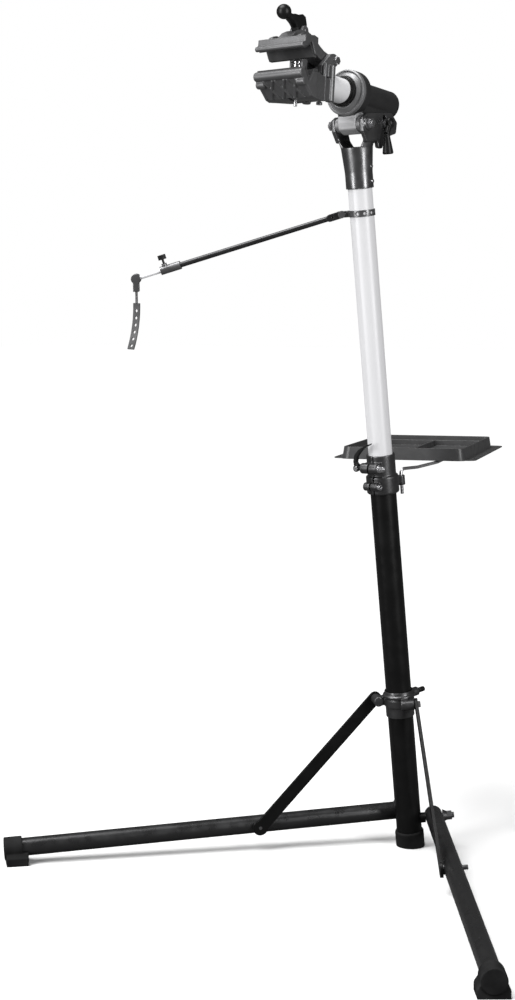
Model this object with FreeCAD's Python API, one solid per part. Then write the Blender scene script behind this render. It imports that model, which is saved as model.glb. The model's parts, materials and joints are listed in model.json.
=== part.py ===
import FreeCAD, Part
import math
import os

from FreeCAD import Vector

# Folding bicycle repair stand, in millimetres.
# Frame: origin at the centre of the mast foot on the floor, +Z up, +X the way
# the mast leans and the two legs spread, +Y to the left of that direction.

# --- driving dimensions: mast and legs -------------------------------------
MAST_LEAN = 8.0            # degrees from the vertical, towards +X
LOWER_R = 22.5             # lower mast tube, outer radius
LOWER_WALL = 1.5
UPPER_R = 20.6             # upper mast tube, outer radius
UPPER_WALL = 1.6
FIT = 0.05                 # radial clearance of a running fit
GAP = 0.3                  # clearance between neighbouring moving pieces
LOWER_TOP = 678.0          # heights are measured along the mast from the floor
UPPER_BOTTOM = 420.0
FOOT_CAP_R = 25.5
FOOT_CAP_TOP = 28.0

LEG_SPREAD = 39.7          # degrees between each leg and the plane of the lean
LEG_PIVOT = 50.0
LEG_R = 15.6
LEG_WALL = 1.6
LEG_LENGTH = 714.5         # pivot to the end of the foot
LEG_OFFSET = 46.0          # from the mast axis to the leg axis, sideways
LEG_RISE = 3.95            # degrees above square to the mast
LEG_BOLT_R = 5.0
FOOT_R = 19.5
FOOT_SLEEVE = 31.0
FOOT_BLOCK = 41.0
FOOT_WIDTH = 48.0

BRACE_OFFSET = 26.0        # middle plane of the brace, from the mast axis
BRACE_THICK = 5.0
BRACE_WIDTH = 22.0
BRACE_END_R = 13.5         # rounded lower end of the brace
BRACE_ON_LEG = 265.0       # brace pivot along the leg, from the leg pivot
BRACE_OUT = 37.0           # upper brace pivot, out from the mast axis
SLIDER = 274.0             # upper brace pivot, up the mast
SLIDER_R = 26.0
SLIDER_RIM_R = 28.6
BRACE_BOLT_R = 4.0

# --- driving dimensions: mast clamp ----------------------------------------
CLAMP_LOW = 648.0
CLAMP_STEP = 680.0
CLAMP_TOP = 716.0
CLAMP_LOW_R = 28.0
CLAMP_TOP_R = 24.6
LUG_OUT = 33.6             # clamp bolts, in front of the mast axis
LUG_TOP_R = 9.2
LUG_LOW_R = 7.2
LUG_HALF = 17.0            # half the width over the upper pair of lugs
LUG_LOW_HALF = 14.0        # and over the lower pair
LUG_TOP_H = 697.0
LUG_LOW_H = 665.0
QR_SWING = 150.0           # degrees, quick-release lever from closed to open
QR_OUT = 25.5              # cam barrel of the quick release, from the split
QR_HUB_R = 5.8
SOCKET_OUT = 48.0          # tray socket, from the mast axis
SOCKET_TURN = 172.0        # degrees round the mast from +X
SOCKET_TOP = 669.0
WIRE_R = 2.9

# --- driving dimensions: head ----------------------------------------------
TILT_U = 10.5              # tilt pivot, in front of the mast axis
TILT_W = 1278.8            # tilt pivot, up the mast
TILT_R = 13.0              # tilt barrel
HEAD_RISE = 5.0            # degrees, head axis above the horizontal
HEAD_BACK = 25.4           # flange face in front of the tilt pivot
HEAD_UP = 49.6             # head axis above the tilt pivot
YOKE_LOW = 1172.0
YOKE_RIM = 1241.0
YOKE_R = 23.4
CHEEK_IN = 25.3            # half the gap between the cheeks
CHEEK_THICK = 7.0
EAR_BOSS = 4.0             # bosses round the tilt pivot, proud of the cheeks
BARREL_R = 24.6
BARREL_BACK = 125.0
FLANGE_R = 38.0
JAW_HALF = 47.5            # half the length of the jaws
HINGE_H = 60.5             # jaw hinge: ahead of the flange face
HINGE_K = 37.5             # and above the head axis
ROD_H = 130.0
CAM_K = 73.0
NUT_K = 19.5
NUT_R = 8.0
NUT_HALF = 5.0
ROD_R = 3.0

# --- driving dimensions: steadying arm and tray -----------------------------
BAND_W = 1131.0
TUBE_END = 301.0           # along the arm, from its pivot
SLEEVE_LOW = 288.0
SLEEVE_HIGH = 324.0
SCREW_AT = 315.0
SWIVEL_AT = 369.0
ARM_TURN = -56.7           # degrees round the mast from +X
ARM_DROP = 12.6            # degrees below square to the mast
ARM_PIVOT = 34.0           # from the mast axis
STRAP_TURN = 65.0          # degrees the hanging strap is twisted from the arm
FORK_IN = 2.5              # half the gap of the arm's fork
FORK_THICK = 2.2
ARM_TUBE_R = 4.6
ARM_ROD_R = 3.4
TRAY_WIDTH = 231.0
TRAY_DEPTH = 352.0
TRAY_RIM = 711.0
TRAY_HEIGHT = 22.0
TRAY_WALL = 3.0
FLANGE_THICK = 1.8
TRAY_LEDGE = 13.0          # level of the ledge between the pockets
TRAY_FLANGE = 14.0         # flange beyond the walls
TOOL_HOLE_R = 6.5
TOOL_HOLES = 6             # in each side flange

X = Vector(1, 0, 0)
Y = Vector(0, 1, 0)
Z = Vector(0, 0, 1)
ORIGIN = Vector(0, 0, 0)


# --- small helpers -----------------------------------------------------------
def polar(radius, degrees, height=0.0):
    """Point at a radius and an angle round the local Z axis."""
    a = math.radians(degrees)
    return Vector(radius * math.cos(a), radius * math.sin(a), height)


def frame(origin, x_axis, z_axis):
    """Placement with the given origin and local X and Z directions."""
    x = Vector(x_axis).normalize()
    z = Vector(z_axis).normalize()
    y = z.cross(x)
    m = FreeCAD.Matrix(x.x, y.x, z.x, origin.x, x.y, y.y, z.y, origin.y,
                       x.z, y.z, z.z, origin.z, 0, 0, 0, 1)
    return FreeCAD.Placement(m)


def put(shape, place):
    """Copy of a shape, moved from a local frame into the stand's frame."""
    moved = shape.copy()
    moved.Placement = place.multiply(moved.Placement)
    return moved


def rod(a, b, radius):
    """Round bar between two points."""
    return Part.makeCylinder(radius, (b - a).Length, a, b - a)


def pipe(a, b, outer, inner):
    """Round tube between two points."""
    past = (b - a).normalize()
    return rod(a, b, outer).cut(rod(a - past, b + past, inner))


def cone(a, b, r_a, r_b):
    """Tapered round bar between two points."""
    return Part.makeCone(r_a, r_b, (b - a).Length, a, b - a)


def block(low, high):
    """Box between two opposite corners."""
    return Part.makeBox(high.x - low.x, high.y - low.y, high.z - low.z, low)


def fuse(first, *others):
    """One solid from pieces that touch or overlap."""
    return first.fuse(list(others)).removeSplitter()


def outline(points, radius=0.0):
    """Closed planar outline with every corner rounded by the same radius."""
    if radius == 0.0:
        return Part.makePolygon(points + points[:1])
    edges = []
    start = None
    first = None
    count = len(points)
    for i in range(count):
        here = points[i]
        back = (points[i - 1] - here).normalize()
        ahead = (points[(i + 1) % count] - here).normalize()
        half = back.getAngle(ahead) / 2
        reach = radius / math.tan(half)
        enter = here + back * reach
        leave = here + ahead * reach
        middle = here + (back + ahead).normalize() * (radius / math.sin(half) - radius)
        if start is not None:
            edges.append(Part.makeLine(start, enter))
        else:
            first = enter
        edges.append(Part.Arc(enter, middle, leave).toShape())
        start = leave
    edges.append(Part.makeLine(start, first))
    return Part.Wire(edges)


def slab(points, along, radius=0.0):
    """Flat outline, rounded at its corners and given a thickness."""
    return Part.Face(outline(points, radius)).extrude(along)


def profile(pairs, y_low, y_high, radius=0.0):
    """Outline in the local X-Z plane, extruded along Y."""
    points = [Vector(x, y_low, z) for x, z in pairs]
    return slab(points, Vector(0, y_high - y_low, 0), radius)


def lathe(pairs):
    """Solid of revolution about local X from (x, radius) pairs."""
    points = [Vector(x, 0, r) for x, r in pairs]
    face = Part.Face(Part.makePolygon(points + points[:1]))
    return face.revolve(ORIGIN, X, 360)


def strip(points, width_dir, width, thick):
    """Flat bar with round ends between two points."""
    along = (points[1] - points[0]).normalize()
    side = along.cross(width_dir).normalize() * (width / 2)
    base = width_dir * (-thick / 2)
    mid = slab([points[0] + side + base, points[1] + side + base,
                points[1] - side + base, points[0] - side + base], width_dir * thick)
    ends = [rod(p + base, p - base, width / 2) for p in points]
    return fuse(mid, *ends)


def bent_wire(points, bend, radius):
    """Round wire through points, with each corner bent to a radius."""
    edges = []
    start = points[0]
    for i in range(1, len(points) - 1):
        here = points[i]
        back = (points[i - 1] - here).normalize()
        ahead = (points[i + 1] - here).normalize()
        half = back.getAngle(ahead) / 2
        reach = bend / math.tan(half)
        enter = here + back * reach
        leave = here + ahead * reach
        middle = here + (back + ahead).normalize() * (bend / math.sin(half) - bend)
        edges.append(Part.makeLine(start, enter))
        edges.append(Part.Arc(enter, middle, leave).toShape())
        start = leave
    edges.append(Part.makeLine(start, points[-1]))
    path = Part.Wire(edges)
    ring = Part.Wire(Part.makeCircle(radius, points[0], points[1] - points[0]))
    return path.makePipeShell([ring], True, False)


def hexagon(centre, axis, across, height):
    """Hexagonal prism, across its flats, from a centre along an axis."""
    x_axis = axis.cross(Z if abs(axis.z) < 0.9 else X)
    local = frame(centre, x_axis, axis)
    points = [polar(across / math.sqrt(3), 60 * i) for i in range(6)]
    return put(slab(points, Z * height), local)


def mirrored(shape):
    """The same piece on the other side of the plane of the lean."""
    return shape.mirror(ORIGIN, Y)


PARTS = {}


def keep(name, *solids):
    """Store a node made of one or more solids."""
    PARTS[name] = solids[0] if len(solids) == 1 else Part.Compound(list(solids))


# --- local frames --------------------------------------------------------------
LEAN = math.radians(MAST_LEAN)
U = Vector(math.cos(LEAN), 0, -math.sin(LEAN))
W = Vector(math.sin(LEAN), 0, math.cos(LEAN))
MAST = frame(ORIGIN, U, W)

SPREAD = math.radians(LEG_SPREAD)
OUT = U * math.cos(SPREAD) + Y * math.sin(SPREAD)
SIDE = Y * math.cos(SPREAD) - U * math.sin(SPREAD)
RISE = math.radians(LEG_RISE)
LEG_DIR = OUT * math.cos(RISE) + W * math.sin(RISE)
LEG_UP = W * math.cos(RISE) - OUT * math.sin(RISE)
LEG_START = W * LEG_PIVOT + SIDE * LEG_OFFSET

HEAD_TILT = math.radians(HEAD_RISE)
H = Vector(math.cos(HEAD_TILT), 0, math.sin(HEAD_TILT))
K = Vector(-math.sin(HEAD_TILT), 0, math.cos(HEAD_TILT))
TILT_AT = U * TILT_U + W * TILT_W
HEAD_AT = TILT_AT + H * HEAD_BACK + K * HEAD_UP
HEAD = frame(HEAD_AT, H, K)


# --- mast ------------------------------------------------------------------------
def leg_bolt_hole(shape, radius):
    """Shape with both leg bolt holes cut through it."""
    for side in (SIDE, Vector(SIDE.x, -SIDE.y, SIDE.z)):
        at = W * LEG_PIVOT
        shape = shape.cut(rod(at + side * 8, at + side * 80, radius))
    return shape


def make_mast():
    tube = pipe(W * 4, W * LOWER_TOP, LOWER_R, LOWER_R - LOWER_WALL)
    keep("lower_mast_tube", leg_bolt_hole(tube, LEG_BOLT_R))

    cap = rod(W * -6, W * FOOT_CAP_TOP, FOOT_CAP_R)
    cap = fuse(cap, cone(W * FOOT_CAP_TOP, W * (FOOT_CAP_TOP + 3), FOOT_CAP_R, LOWER_R + 1.2))
    cap = cap.cut(rod(W * 4, W * 60, LOWER_R))
    cap = cap.cut(block(Vector(-60, -60, -40), Vector(60, 60, 0)))
    keep("mast_foot_cap", cap)

    at = W * LEG_PIVOT
    spacers, bolts, washers, nuts = [], [], [], []
    leg_out = LEG_OFFSET + LEG_R
    saddle = rod(at - W * 30, at + W * 30, LOWER_R)
    spacer = rod(at + SIDE * 18, at + SIDE * (LEG_OFFSET - LEG_R - GAP), 9.0)
    spacer = spacer.cut(saddle).cut(rod(at, at + SIDE * 60, LEG_BOLT_R))
    head = rod(at + SIDE * 13.5, at + SIDE * 18.5, 7.5)
    bolt = fuse(head, rod(at + SIDE * 18.5, at + SIDE * (leg_out + 20), LEG_BOLT_R))
    washer = cone(at + SIDE * (leg_out + GAP), at + SIDE * (leg_out + 7), 11.0, 8.0)
    washer = washer.cut(rod(at, at + SIDE * 100, LEG_BOLT_R))
    nut = hexagon(at + SIDE * (leg_out + 7), SIDE, 14.0, 9.0)
    nut = nut.cut(rod(at, at + SIDE * 100, LEG_BOLT_R))
    for pieces, piece in ((spacers, spacer), (bolts, bolt), (washers, washer), (nuts, nut)):
        pieces.extend([piece, mirrored(piece)])
    keep("leg_spacers", *spacers)
    keep("leg_pivot_bolts", *bolts)
    keep("leg_pivot_washers", *washers)
    keep("leg_pivot_nuts", *nuts)


def make_mast_clamp():
    low = rod(Z * CLAMP_LOW, Z * CLAMP_STEP, CLAMP_LOW_R)
    low = low.makeFillet(3.2, low.Edges)
    top = rod(Z * (CLAMP_STEP - 3), Z * CLAMP_TOP, CLAMP_TOP_R)
    top = top.makeFillet(1.2, top.Edges)
    pieces = [low, top]
    lugs = ((LUG_TOP_H, LUG_TOP_R, LUG_HALF), (LUG_LOW_H, LUG_LOW_R, LUG_LOW_HALF))
    for height, radius, half in lugs:
        centre = Vector(LUG_OUT, 0, height)
        ear = rod(centre - Y * half, centre + Y * half, radius)
        ear = ear.makeFillet(1.6, [ear.Edges[0], ear.Edges[2]])
        pieces.append(ear)
        pieces.append(block(Vector(14, -half + 2, height - radius + 1),
                            Vector(LUG_OUT, half - 2, height + radius - 1)))
    socket = polar(SOCKET_OUT, SOCKET_TURN)
    arm = block(Vector(22, -5, 656), Vector(SOCKET_OUT, 5, SOCKET_TOP))
    pieces.append(arm.rotate(ORIGIN, Z, SOCKET_TURN))
    pieces.append(rod(socket + Z * 652, socket + Z * SOCKET_TOP, 6.5))
    body = fuse(*pieces)
    body = body.cut(rod(Z * (CLAMP_LOW - 5), Z * (CLAMP_STEP), LOWER_R))
    body = body.cut(rod(Z * CLAMP_LOW, Z * (CLAMP_TOP + 5), UPPER_R + FIT))
    body = body.cut(rod(socket + Z * 640, socket + Z * 690, WIRE_R + FIT))
    body = body.cut(block(Vector(15, -1.25, CLAMP_LOW - 5), Vector(60, 1.25, CLAMP_TOP + 5)))
    for height in (LUG_TOP_H, LUG_LOW_H):
        centre = Vector(LUG_OUT, 0, height)
        body = body.cut(rod(centre - Y * 30, centre + Y * 30, 3.0))
    low_nut = hexagon(Vector(LUG_OUT, -LUG_LOW_HALF, LUG_LOW_H), Y, 10.0, 4.0)
    keep("mast_clamp", put(body.cut(low_nut), MAST))

    bush = pipe(Z * 630, Z * LOWER_TOP, LOWER_R - LOWER_WALL, UPPER_R + FIT)
    rim = pipe(Z * LOWER_TOP, Z * CLAMP_STEP, LOWER_R, UPPER_R + FIT)
    keep("mast_bush", put(fuse(bush, rim), MAST))

    centre = Vector(LUG_OUT, 0, LUG_LOW_H)
    head = rod(centre + Y * LUG_LOW_HALF, centre + Y * (LUG_LOW_HALF + 5), 5.0)
    head = head.cut(hexagon(centre + Y * (LUG_LOW_HALF + 2), Y, 5.0, 5.0))
    shaft = rod(centre - Y * LUG_LOW_HALF, centre + Y * LUG_LOW_HALF, 3.0)
    nut = low_nut.cut(rod(centre - Y * 40, centre, 3.0))
    keep("clamp_bolt", put(fuse(head, shaft), MAST), put(nut, MAST))


def make_quick_release():
    centre = Vector(LUG_OUT, 0, LUG_TOP_H)
    barrel = centre - Y * QR_OUT
    shaft = rod(barrel, centre + Y * (LUG_HALF + 14), 3.0)
    collar = rod(centre + Y * LUG_HALF, centre + Y * (LUG_HALF + 3), 6.5)
    nut = hexagon(centre + Y * (LUG_HALF + 3), Y, 9.0, 8.0)
    nut = fuse(collar, nut).cut(rod(centre, centre + Y * 40, 3.0))
    keep("quick_release_skewer", put(shaft, MAST), put(nut, MAST))

    pivot = rod(barrel - X * 8, barrel + X * 8, 4.0).cut(rod(barrel, centre, 3.0))
    seat = barrel + Y * (QR_HUB_R + GAP)
    washer = cone(seat, centre - Y * LUG_HALF, 5.5, 7.0)
    washer = washer.cut(rod(barrel, centre, 3.0))
    keep("quick_release_barrel", put(pivot, MAST), put(washer, MAST))

    hub = rod(barrel - X * 7, barrel + X * 7, QR_HUB_R)
    bar = [(-5.5, 1), (-6.8, 12), (-3.5, 23), (5, 32), (17, 39), (31, 44), (31, 42), (18, 35.5),
           (8.5, 27.5), (2, 19), (-0.5, 10), (5, 2)]
    points = [barrel + Vector(-3.5, y, z) for y, z in bar]
    lever = fuse(hub, slab(points, X * 7))
    lever = lever.cut(rod(barrel - X * 20, barrel + X * 20, 4.0 + FIT))
    clear = 3.0 + GAP
    lane = [barrel - X * clear]
    for turn in (-QR_SWING - 58, -QR_SWING, -90, -45, 0, 58):
        way = polar(12, turn)
        lane.append(barrel + Vector(-clear, way.x, way.y))
    keep("quick_release_lever", put(lever.cut(slab(lane, X * 2 * clear)), MAST))


# --- slider, braces and legs -----------------------------------------------------
def brace_points():
    """Upper and lower brace pivots in the middle plane of the brace."""
    top = W * SLIDER + OUT * BRACE_OUT + SIDE * BRACE_OFFSET
    foot = W * LEG_PIVOT + LEG_DIR * BRACE_ON_LEG + SIDE * BRACE_OFFSET
    return top, foot


def make_slider():
    low, high = SLIDER - 29, SLIDER + 12
    sleeve = rod(W * low, W * high, SLIDER_R - 1)
    middle = rod(W * (SLIDER - 10), W * (high - 8), SLIDER_R + 0.6)
    middle = middle.makeFillet(1.0, [middle.Edges[0], middle.Edges[2]])
    rim = rod(W * (high - 5), W * high, SLIDER_RIM_R)
    rim = rim.makeFillet(1.8, [rim.Edges[0], rim.Edges[2]])
    crown = cone(W * high, W * (high + 6), SLIDER_RIM_R - 2.4, SLIDER_R - 1.2)
    top = brace_points()[0]
    inner = BRACE_OFFSET - BRACE_THICK / 2 - GAP
    boss_end = W * SLIDER + OUT * BRACE_OUT + SIDE * inner
    boss = rod(boss_end - SIDE * 24, boss_end, 9.0)
    boss = boss.makeFillet(1.5, [boss.Edges[0], boss.Edges[2]])
    web = frame(boss_end - SIDE * 22, SIDE, W)
    arm = put(block(Vector(0, 0, -8), Vector(12, BRACE_OUT, 8)), web)
    pin_way = polar(1, 165)
    pin_dir = (U * pin_way.x + Y * pin_way.y).normalize()
    pin_at = W * (SLIDER + 4)
    lug = rod(pin_at + pin_dir * 20, pin_at + pin_dir * 42, 8.0)
    body = fuse(sleeve, middle, rim, crown, boss, mirrored(boss), arm, mirrored(arm), lug)
    body = body.cut(rod(W * 200, W * 400, LOWER_R + 0.9))
    body = body.cut(rod(pin_at, pin_at + pin_dir * 60, 3.0 + FIT))
    body = body.cut(rod(pin_at, pin_at + pin_dir * 39.5, 4.8))
    hole = rod(boss_end - SIDE * 16, top + SIDE * 10, BRACE_BOLT_R)
    body = body.cut(hole).cut(mirrored(hole))
    keep("slider_collar", body)

    bushes = [pipe(W * (low + a), W * (low + b), LOWER_R + 0.9, LOWER_R + FIT)
              for a, b in ((0, 12), (36, 41))]
    keep("slider_bushes", *bushes)

    outer = BRACE_OFFSET + BRACE_THICK / 2
    shaft = rod(boss_end - SIDE * 16, boss_end + SIDE * (BRACE_THICK + 2 * GAP), BRACE_BOLT_R)
    head_at = W * SLIDER + OUT * BRACE_OUT + SIDE * (outer + GAP)
    bolt = fuse(shaft, hexagon(head_at, SIDE, 10.0, 4.5))
    keep("brace_bolts", bolt, mirrored(bolt))

    stem = rod(pin_at + pin_dir * (LOWER_R + 0.3), pin_at + pin_dir * 46, 3.0)
    knob = rod(pin_at + pin_dir * 45, pin_at + pin_dir * 59, 4.6)
    knob = knob.makeFillet(2.5, [knob.Edges[0], knob.Edges[2]])
    collar = rod(pin_at + pin_dir * 25.4, pin_at + pin_dir * 27, 4.5)
    keep("lock_pin", fuse(stem, knob, collar))
    spring = pipe(pin_at + pin_dir * 27, pin_at + pin_dir * 34, 4.4, 3.1)
    keep("lock_pin_spring", spring)


def make_leg(side_name, finish):
    end = LEG_START + LEG_DIR * LEG_LENGTH
    tube = pipe(LEG_START - LEG_DIR * 14, end - LEG_DIR * 3, LEG_R, LEG_R - LEG_WALL)
    nose = Part.makeSphere(LEG_R, LEG_START - LEG_DIR * 5)
    nose = nose.common(rod(LEG_START - LEG_DIR * 30, LEG_START - LEG_DIR * 14, 40))
    cap = rod(LEG_START - LEG_DIR * 14, LEG_START - LEG_DIR * 10, LEG_R - LEG_WALL)
    leg = fuse(tube, nose, cap)
    leg = leg.cut(rod(LEG_START - SIDE * 30, LEG_START + SIDE * 30, LEG_BOLT_R + FIT))
    bolt_at = LEG_START + LEG_DIR * BRACE_ON_LEG
    leg = leg.cut(rod(bolt_at - SIDE * 30, bolt_at + SIDE * 30, BRACE_BOLT_R))
    keep("leg_tube_" + side_name, finish(leg))

    inner = LEG_OFFSET - BRACE_OFFSET - BRACE_THICK / 2 - GAP
    boss = rod(bolt_at - SIDE * inner, bolt_at, 9.0)
    boss = boss.cut(rod(bolt_at - LEG_DIR * 40, bolt_at + LEG_DIR * 40, LEG_R))
    boss = boss.cut(rod(bolt_at - SIDE * 30, bolt_at + SIDE * 30, BRACE_BOLT_R))
    bolt = rod(bolt_at - SIDE * inner, bolt_at + SIDE * (LEG_R + 9), BRACE_BOLT_R)
    keep("leg_boss_" + side_name, finish(boss), finish(bolt))

    sleeve = rod(end - LEG_DIR * FOOT_SLEEVE, end, FOOT_R)
    flat_dir = Vector(LEG_DIR.x, LEG_DIR.y, 0).normalize()
    across = Z.cross(flat_dir)
    floor_end = Vector(end.x, end.y, 0)
    base = frame(floor_end, flat_dir, Z)
    half = FOOT_WIDTH / 2
    shape = [(-half, 0), (half, 0), (half, 13), (half - 6, 22), (-half + 6, 22), (-half, 13)]
    points = [Vector(-FOOT_BLOCK, y, z) for y, z in shape]
    pad = put(slab(points, X * (FOOT_BLOCK - 3)), base)
    foot = fuse(sleeve, pad)
    foot = foot.cut(rod(end - LEG_DIR * 90, end - LEG_DIR * 3, LEG_R))
    foot = foot.cut(put(block(Vector(-200, -80, -40), Vector(80, 80, 0)), base))
    keep("leg_foot_" + side_name, finish(foot))

    top, low = brace_points()
    half_thick = BRACE_THICK / 2
    brace = strip([top, low], SIDE, BRACE_WIDTH, BRACE_THICK)
    brace = fuse(brace, rod(low - SIDE * half_thick, low + SIDE * half_thick, BRACE_END_R))
    brace = brace.cut(rod(top - SIDE * 9, top + SIDE * 9, BRACE_BOLT_R + FIT))
    brace = brace.cut(rod(low - SIDE * 9, low + SIDE * 9, 3.0))
    keep("brace_bar_" + side_name, finish(brace))
    pin = rod(low - SIDE * half_thick, low + SIDE * half_thick, 3.0)
    keep("brace_pin_" + side_name, finish(pin))


# --- upper mast and yoke ------------------------------------------------------------
def make_upper_mast():
    top = YOKE_RIM - 6
    keep("upper_mast_tube", pipe(W * UPPER_BOTTOM, W * top, UPPER_R, UPPER_R - UPPER_WALL))
    plug = rod(W * (UPPER_BOTTOM - 14), W * (UPPER_BOTTOM - GAP), LOWER_R - LOWER_WALL - FIT)
    neck = rod(W * (UPPER_BOTTOM - 1), W * (UPPER_BOTTOM + 22), UPPER_R - UPPER_WALL - FIT)
    plug = fuse(plug, neck).cut(rod(W * 380, W * 460, 14.0))
    keep("tube_end_plug", plug)


def cheek_shape(pairs, side):
    """One cheek of the yoke: a plate beside the head."""
    inner, outer = CHEEK_IN, CHEEK_IN + CHEEK_THICK
    return profile(pairs, min(side * inner, side * outer), max(side * inner, side * outer), 4.0)


def yoke_flare():
    """The sleeve's flared top, and the fork above it that carries both cheeks."""
    outer = CHEEK_IN + CHEEK_THICK
    rim_r = YOKE_R + 3.6
    knee = YOKE_RIM + 18
    low = cone(Z * (YOKE_RIM - 42), Z * YOKE_RIM, YOKE_R, rim_r)
    high = fuse(cone(Z * (YOKE_RIM - 1), Z * knee, rim_r, outer),
                rod(Z * knee, Z * (knee + 10), outer))
    high = high.common(block(Vector(-16, -40, YOKE_RIM - 1), Vector(15, 40, knee + 10)))
    flat, wide = 17.0, CHEEK_IN
    notch = [(flat, YOKE_RIM), (wide - 2, knee - 8), (wide, knee + 2), (wide, knee + 20),
             (-wide, knee + 20), (-wide, knee + 2), (-wide + 2, knee - 8), (-flat, YOKE_RIM)]
    points = [Vector(-60, y, z) for y, z in notch]
    return fuse(low, high.cut(slab(points, X * 120)))


def make_yoke():
    sleeve = fuse(rod(Z * YOKE_LOW, Z * (YOKE_RIM - 41), YOKE_R), yoke_flare())
    low = YOKE_RIM + 8
    long_pairs = [(-16, low), (15, low), (24, TILT_W - 12), (24, TILT_W + 10), (8, TILT_W + 17),
                  (-64, TILT_W + 13), (-78, TILT_W - 4), (-72, TILT_W - 22), (-46, TILT_W - 26),
                  (-34, TILT_W - 34), (-27, TILT_W - 46), (-22, YOKE_RIM - 4), (-16, YOKE_RIM - 8)]
    short_pairs = [(-14, low), (14, low), (24, TILT_W - 10), (24, TILT_W + 8),
                   (12, TILT_W + 14), (0, TILT_W + 12), (-8, TILT_W - 8)]
    tilt = Vector(TILT_U, 0, TILT_W)
    face = CHEEK_IN + CHEEK_THICK
    bosses = [rod(tilt + Y * side * (face - 2), tilt + Y * side * (face + EAR_BOSS), 11.0)
              for side in (1, -1)]
    body = fuse(sleeve, cheek_shape(long_pairs, 1), cheek_shape(short_pairs, -1), *bosses)
    body = body.cut(rod(Z * (YOKE_LOW - 5), Z * (YOKE_RIM - 6), UPPER_R))
    body = body.cut(rod(Z * (YOKE_RIM - 7), Z * (YOKE_RIM + 2), UPPER_R - 4))
    body = body.cut(rod(tilt - Y * 60, tilt + Y * 60, 5.0))
    body = body.cut(lock_slot())
    keep("head_yoke", put(body, MAST))

    rivets = []
    for height in (YOKE_LOW + 11, YOKE_LOW + 36):
        way = polar(1, 98)
        a = way * (YOKE_R - 3)
        rivet = rod(a + Z * height, way * (YOKE_R + 2.6) + Z * height, 3.2)
        outer = rivet.cut(rod(Z * 1100, Z * 1300, YOKE_R)).cut(body)
        rivets.append(put(outer, MAST))
    keep("yoke_rivets", *rivets)

    face += EAR_BOSS
    shaft = rod(tilt - Y * 45, tilt + Y * 45, 5.0)
    heads = [hexagon(tilt + Y * face, Y, 15.0, 6.0), hexagon(tilt - Y * (face + 6), Y, 15.0, 6.0)]
    heads = [head.cut(shaft) for head in heads]
    keep("tilt_pivot_bolt", put(shaft, MAST), *[put(head, MAST) for head in heads])


def lock_local():
    """Lock bolt centre in mast coordinates, at rest."""
    at = HEAD_AT - H * 76.5 - K * 41.0
    return Vector(at.dot(U), 0, at.dot(W))


def lock_slot():
    """Curved slot for the lock bolt through the long cheek, in mast coordinates."""
    tilt = Vector(TILT_U, 0, TILT_W)
    arm = lock_local() - tilt
    pieces = []
    radius = 4.0 + GAP
    swing = 11.0
    for turn in (-swing, swing):
        at = tilt + FreeCAD.Rotation(Y, turn).multVec(arm)
        pieces.append(rod(at, at + Y * 60, radius))
    band = pipe(tilt, tilt + Y * 60, arm.Length + radius, arm.Length - radius)
    start = math.degrees(math.atan2(arm.z, arm.x))
    wedge = [ORIGIN]
    for turn in (-swing, 0, swing):
        wedge.append(polar(arm.Length * 2, start + turn))
    points = [tilt + Vector(p.x, 0, p.y) for p in wedge]
    pieces.append(band.common(slab(points, Y * 60)))
    return fuse(*pieces)


# --- head housing -------------------------------------------------------------------
def make_head():
    body = lathe([(-BARREL_BACK, 0), (-BARREL_BACK, BARREL_R), (-34, BARREL_R),
                  (-24, FLANGE_R + 0.5), (-9, FLANGE_R + 0.5), (-9, 0)])
    saddle = profile([(-98, -46), (-50, -46), (-42, -62), (-30, -66), (-14, -60), (-10, -48),
                      (-10, -10), (-98, -10)], -18, 18, 3.0)
    body = fuse(body, saddle)
    tilt = Vector(-HEAD_BACK, 0, -HEAD_UP)
    body = body.cut(rod(tilt - Y * 40, tilt + Y * 40, TILT_R))
    body = body.cut(lathe([(-BARREL_BACK - 5, 0), (-BARREL_BACK - 5, 21.9), (0, 21.9), (0, 0)]))
    lock = Vector(-76.5, 0, -41.0)
    body = body.cut(rod(lock - Y * 40, lock + Y * 40, 4.0))
    keep("head_housing", put(body, HEAD))

    ring = lathe([(-9, 25.5), (-9, FLANGE_R), (-3, FLANGE_R), (-1, FLANGE_R - 2.2),
                  (-3.5, FLANGE_R - 3.6), (2.5, 27.0), (2.5, 25.5)])
    keep("flange_ring", put(ring, HEAD))
    front = lathe([(-30, UPPER_R + FIT), (-30, 21.9), (-9, 21.9), (-9, 25.3), (7, 25.3),
                   (8, 24.3), (8, 22.6), (11, 22.2), (11, UPPER_R + FIT)])
    rear = lathe([(-BARREL_BACK, UPPER_R + FIT), (-BARREL_BACK, 21.9), (-95, 21.9),
                  (-95, UPPER_R + FIT)])
    keep("head_bushes", put(front, HEAD), put(rear, HEAD))
    cap = lathe([(-BARREL_BACK - 9, 0), (-BARREL_BACK - 9, 14), (-BARREL_BACK - 7, 20),
                 (-BARREL_BACK - 3, 23.6), (-BARREL_BACK, BARREL_R), (-BARREL_BACK, 0)])
    keep("housing_end_cap", put(cap, HEAD))

    barrel = pipe(tilt - Y * (CHEEK_IN - GAP), tilt + Y * (CHEEK_IN - GAP), TILT_R, 5.0 + FIT)
    keep("tilt_barrel", put(barrel, HEAD))
    tail = CHEEK_IN + CHEEK_THICK
    shaft = rod(lock - Y * 24, lock + Y * (tail + 12), 4.0)
    head = hexagon(lock - Y * 24, Y, 13.0, 5.8)
    nut = hexagon(lock + Y * (tail + GAP), Y, 13.0, 5.0)
    keep("lock_bolt", put(fuse(shaft, head), HEAD), put(nut.cut(shaft), HEAD))


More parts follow.
